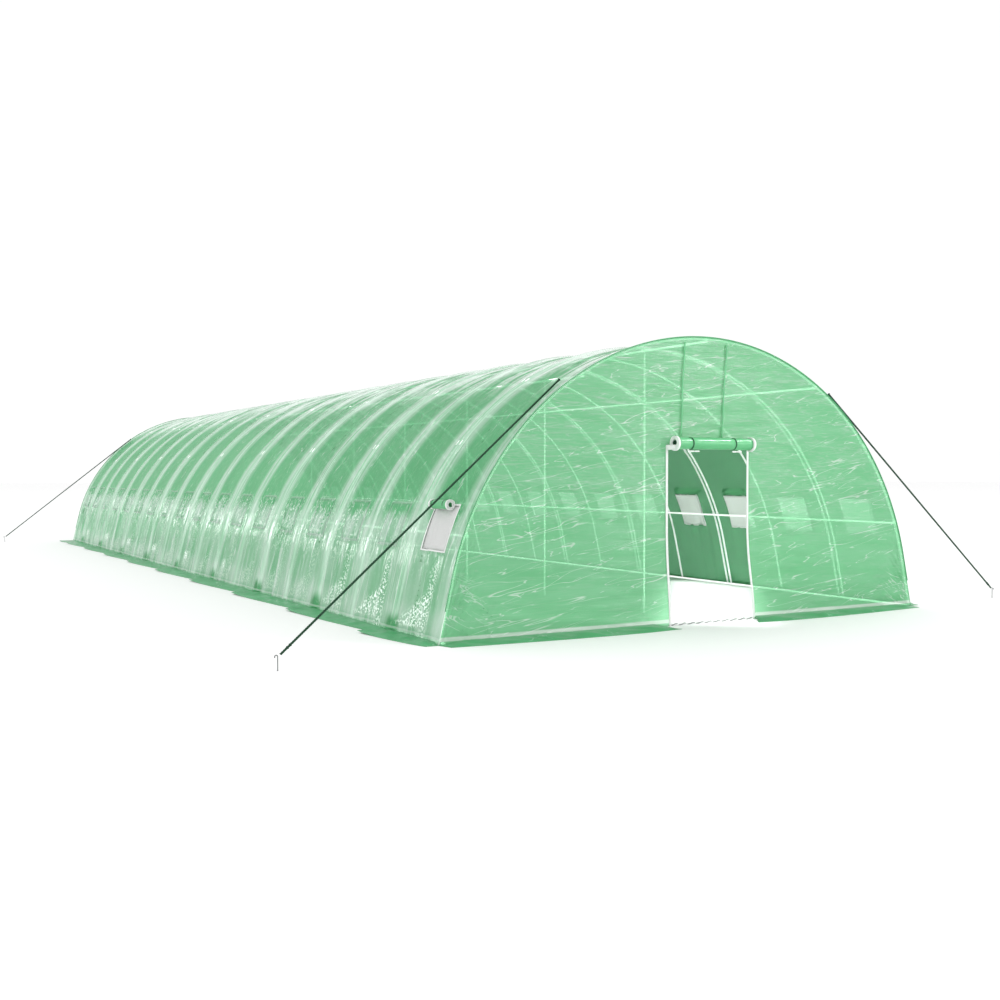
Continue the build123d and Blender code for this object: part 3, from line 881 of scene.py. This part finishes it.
front_zips, rear_zips = (joined([zip_side(-1, front), zip_side(1, front)]) for front in (True, False))
piece("front_zips", front_zips, tape_white, "white_tape", "front_door_zips")
piece("rear_zips", mirrored(rear_zips, 1), tape_white, "white_tape", "rear_door_zips")
sill = points_of(np.linspace(-0.46, 0.62, 221), FRONT + 0.012, 0.0125)
pale_strand, dark_strand = laid_strands(sill, 0.012, lay=0.11, strands=2)
piece("threshold_cord", pale_strand, tape_white, "white_tape", "door_threshold")
piece("threshold_cord_dark", dark_strand, cord_grey, "white_tape")


# Windows, made for the left wall and mirrored for the right

def net(middle):
    """The net behind one window, close to the cover."""
    y = middle + np.linspace(-WINDOW_WIDTH / 2 - NET_EDGE, WINDOW_WIDTH / 2 + NET_EDGE, 13)[:, None]
    girth = np.linspace(WINDOW_LOW - NET_EDGE, WINDOW_HIGH + NET_EDGE, 9)[None, :]
    x, z = vault(girth, cover_out(y, girth) - 0.005)
    return sheet(points_of(x, y, z), 0.0015)


def window_tape(middle):
    """The tape sewn round one window, outside the film."""
    half, tape = WINDOW_WIDTH / 2, 0.014
    y = middle + steps((-half - tape, 0), (-half, 1), (half, 8), (half + tape, 1))[:, None]
    girth = steps((WINDOW_LOW - tape, 0), (WINDOW_LOW, 1), (WINDOW_HIGH, 8), (WINDOW_HIGH + tape, 1))[None, :]
    x, z = vault(girth, cover_out(y, girth) + 0.003)
    keep = np.ones((10, 10), bool)
    keep[1:-1, 1:-1] = False
    return sheet(points_of(x, y, z), 0.003, keep)


def shut_flap(start):
    """The film flap that hangs shut in the window of one bay, flush with the cover and on the same lines,
    with a narrow gap all round."""
    edge = np.pad(np.zeros(7), 1, constant_values=(FLAP_GAP, -FLAP_GAP))
    y, girth = (start + WINDOW_ALONG + edge)[:, None], (WINDOW_UP + edge)[None, :]
    x, z = vault(girth, cover_out(y, girth))
    return sheet(points_of(x, y, z), 0.0008)


def window_roll(middle, centre, span, tape=False):
    """The flap rolled up above one window: its film, or the tape on both its ends."""
    low, high = middle + span[0], middle + span[1]
    if not tape:
        inner = (low + 0.022, high - 0.022)
        return rolled(centre, 1, inner, core=0.012, outer=0.0385, turns=2.9, thickness=0.007, columns=9)
    tips = [(low, low + 0.021), (high - 0.021, high)]
    ring = {"core": 0.010, "outer": 0.042, "turns": 2.9, "thickness": 0.0095}
    return joined(rolled(centre, 1, tip, **ring) for tip in tips)


def windows(side, places, degree, span, material):
    """Nets behind all windows of a side, and over those at some places a tape and the rolled flap with its
    ties. The nets and the rolls are returned."""
    flip = (lambda part: mirrored(part, 0)) if side == "right" else (lambda part: part)
    centre = round_bend(180 - degree, ROLL_OUT)
    part = flip(joined(map(net, MIDDLES)))
    nets = piece(f"{side}_nets", part, net_cloth, "window_net", f"{side}_window_nets")
    piece(f"{side}_window_hems", flip(joined(map(window_tape, places))), tape_white, "white_tape")
    film = flip(joined(window_roll(middle, centre, span) for middle in places))
    rolls = piece(f"{side}_rolls", film, material, "cover_film", f"{side}_window_rolls")
    tape = flip(joined(window_roll(middle, centre, span, tape=True) for middle in places))
    tapes = piece(f"{side}_roll_tape", tape, tape_white, "white_tape")
    middles = [middle + offset for middle in places for offset in (span[0] + 0.09, span[1] - 0.05)]
    ties = flip(joined(tie_band(centre, 1, middle, radius=0.0405, width=0.012) for middle in middles))
    piece(f"{side}_roll_ties", ties, strap_dark, "dark_strap")
    return nets, rolls


windows("left", MIDDLES[:1], 25.9, (-0.15, 0.21), film_roll)
# The right rolls are painted pale as painted light.
right_nets, right_rolls = windows("right", MIDDLES, 27.02, (-0.24, 0.24), film_roll_lit)
part = joined(map(shut_flap, HOOPS[1:-1]))
shut = piece("shut_flaps", part, film_shut_lit, "cover_film", "left_window_flaps")


# Flaps on the ground

def flap_rise(out, fold, lift):
    """Height of a flap from the wall out to its edge: it lifts at the wall, with folds between the two."""
    return lift * (1 - out) ** 2 + 0.024 * (fold + 1.5).clip(0) * out * (1 - out)


def side_flap(low, high, seed):
    """One length of the flap beside the left wall, between two gathers, that widens to a loose tip."""
    share = np.linspace(0, 1, 61)[:, None]
    out = np.linspace(1, 0, 15)[None, :]
    width = 0.13 + 0.165 * share**0.7
    y = low + (high - low) * share + 0.10 * out * share**6
    fold = ripple(out, share * (high - low), seed, 10, (0.8, 3.0), (0.15, 0.7))
    rise = smooth(share, 0.0, 0.12) * flap_rise(out, fold, 0.022) + 0.02 * share**8 * out
    return sheet(points_of(0.012 - HALF - width * out, y, ON_GROUND + rise), 0.003)


def end_flap():
    """The flap on the ground in front of the film left of the front door, with a tip beside the doorway."""
    share = np.linspace(0, 1, 61)[None, :]
    out = np.linspace(1, 0, 13)[:, None]
    width = 0.16 + 0.11 * np.sin(math.pi * 0.62 * share) - 0.03 * smooth(share, 0.85, 1.0)
    tip = 0.17 * smooth(share, 0.7, 1.0) + 0.05 * (1 - smooth(share, 0, 0.15))
    x = -HALF + (HALF - 0.66) * share + out * tip
    fold = ripple(share * 2.4, out, 121, 10, (0.2, 0.9), (0.8, 3.0))
    rise = smooth(share, 0.0, 0.1) * flap_rise(out, fold, 0.03)
    return sheet(points_of(x, FRONT + 0.004 - width * out, ON_GROUND + rise), 0.003)


stops = np.concatenate([[FRONT], GATHERS, [-FRONT - 0.1]])
left = joined(side_flap(stops[number], stops[number + 1], 90 + number) for number in range(len(stops) - 1))
flaps = piece("side_ground_flaps", doubled(left, 0), film_flap, "cover_film", "side_flaps")
corners = doubled(doubled(end_flap(), 0), 1)
flaps = piece("end_ground_flaps", corners, film_flap, "cover_film", "end_flaps")


# Guy ropes and pegs: each peg's place, and where along the tunnel its rope touches the cover

CORNERS = [(-4.62, -9.51, -8.85), (4.51, -8.93, -9.0), (-4.36, 9.38, 8.9), (4.62, 9.51, 8.85)]
ROPE = 0.0105  # radius
GRIP = 0.105  # height of the rope's knot at the peg
ON_ROOF = 0.2  # length of rope that lies on the roof
HOOK = 0.012  # radius of a peg's bend


def guy_rope(x, y, touch_y):
    """Three laid strands, straight from a knot at the peg, tangent to the cover, to a knot on the roof."""
    grip = np.array([x, y, GRIP])
    ring = BEND + ROPE
    turn = math.atan2(grip[2] - CENTRE, abs(x)) + math.acos(ring / math.hypot(x, grip[2] - CENTRE))
    touch = np.array([math.copysign(ring * math.cos(turn), x), touch_y, CENTRE + ring * math.sin(turn)])
    toward = (touch - grip) / np.linalg.norm(touch - grip)
    path = np.linspace(grip, touch + ON_ROOF * toward, 500)[4:]
    side = np.cross(toward, [0.0, 0.0, 1.0])
    side /= np.linalg.norm(side)
    turn = np.linspace(0, 2 * math.pi, 21)[:, None]
    loop = np.cos(turn) * side + np.sin(turn) * np.cross(side, toward)
    knots = [bar(path[place] + loop * 0.009, 0.005, 6, across=toward) for place in (10, 14, -2)]
    return joined(laid_strands(path, ROPE, lay=0.062, strands=3) + knots)


def peg(x, y):
    """A bent bar that stands in the ground, with a small hook away from the tunnel."""
    turn = np.linspace(0, 1.2 * math.pi, 15)
    stem = points_of(x, y, np.linspace(0.0, 0.1, 9))
    hook = points_of(x + math.copysign(HOOK, x) * (1 - np.cos(turn)), y, 0.108 + HOOK * np.sin(turn))
    return bar(np.concatenate([stem, hook]), radius=0.0045, sides=8)


piece("ropes", joined(guy_rope(*corner) for corner in CORNERS), rope_green, "guy_rope", "guy_ropes")
piece("pegs", joined(peg(x, y) for x, y, _ in CORNERS), peg_steel, "peg_steel", "guy_pegs")


# Floor, light and camera

floor_material = new_material("floor_pale", (0.96, 0.96, 0.96), 0.9)[0]
bpy.ops.mesh.primitive_plane_add(size=400)
floor = bpy.context.object
floor.name = "floor"
floor.data.materials.append(floor_material)

scene.view_settings.view_transform = "Standard"
world = bpy.data.worlds.new("studio")
world.use_nodes = True
scene.world = world
world.node_tree.nodes["Background"].inputs["Color"].default_value = (1, 1, 1, 1)
world.node_tree.nodes["Background"].inputs["Strength"].default_value = 1.02


def new_light(kind, name, place, target, power, only=(), inside=False):
    """A light that faces a point and, where some pieces are given, lights those alone. One that works
    inside the tunnel isn't mirrored, and only the pieces that it lights cast its shadows."""
    made = bpy.data.objects.new(name, bpy.data.lights.new(name, kind))
    made.data.energy = power
    scene.collection.objects.link(made)
    made.location = place
    way = np.subtract(target, place)
    made.rotation_euler = (math.atan2(math.hypot(way[0], way[1]), -way[2]), 0, math.atan2(-way[0], way[1]))
    made.visible_camera = made.visible_transmission = False
    if only:
        lit = bpy.data.collections.new(name + "_on")
        for receiver in only:
            lit.objects.link(receiver)
        made.light_linking.receiver_collection = lit
        made.light_linking.blocker_collection = lit if inside else None
    made.visible_glossy = not inside
    return made


def area_light(name, place, target, size, power, **linked):
    """A soft rectangular light."""
    made = new_light("AREA", name, place, target, power, **linked)
    made.data.shape = "RECTANGLE"
    made.data.size, made.data.size_y = size
    return made


def tube_light(name, place, power, tubes):
    """A wide even light for some tubes alone."""
    made = new_light("SUN", name, place, (0, 0, 1), power, only=tubes, inside=True)
    made.data.angle = math.radians(60)


behind = [cover, shut, ends["rear"], rear_leaf]
before = [thing for thing in scene.objects if thing.type == "MESH" and thing not in behind]
area_light("front_softbox", (13.2, -24.6, 8), (0, -9, 1.2), (3, 12), 1000, only=before)
area_light("back_softbox", (-15.6, 22.4, 6.3), (-3, 0, 0.5), (4, 2.5), 300, only=[cover, shut])
all_tubes = [*frame_pieces, posts]
long_tubes = [tube for tube in frame_pieces if tube.name.endswith("_tube")]
tube_light("tubes_front", (-6, -15, 5), 3.0, all_tubes)
tube_light("tubes_back", (6, 15, 5), 1.2, all_tubes)
tube_light("tubes_side", (-16, -5, 5), 3.2, long_tubes)
area_light("inside_rolls", (1.2, 0, 1.2), (3, 0, 1.2), (17, 0.8), 350, only=[right_rolls], inside=True)
area_light("inside_nets", (1.2, 0, 1.2), (3, 0, 1.2), (19, 0.8), 100, only=[right_nets], inside=True)
area_light("roll_shine", (3.9, -10.6, 6.0), (0, *ROLL), (2, 0.25), 170, only=[door_roll])
area_light("floor_fill", (0, 0, 40), (0, 0, 0), (120, 120), 7500, only=[floor])
doorway = area_light("doorway", (1.49, -7.33, 0.8), (1.49, -7.33, 0), (1.1, 4.6), 20, only=[floor])
doorway.rotation_euler.z = math.radians(-40.5)
doorway.data.spread = math.radians(50)

camera = bpy.data.objects.new("camera", bpy.data.cameras.new("camera"))
scene.collection.objects.link(camera)
camera.data.sensor_width = 36.0
camera.data.lens = 40.81
camera.location = (-7.452, -17.739, 1.482)
camera.rotation_euler = (math.radians(90 - 1.269), 0, math.radians(-30.124))
scene.camera = camera
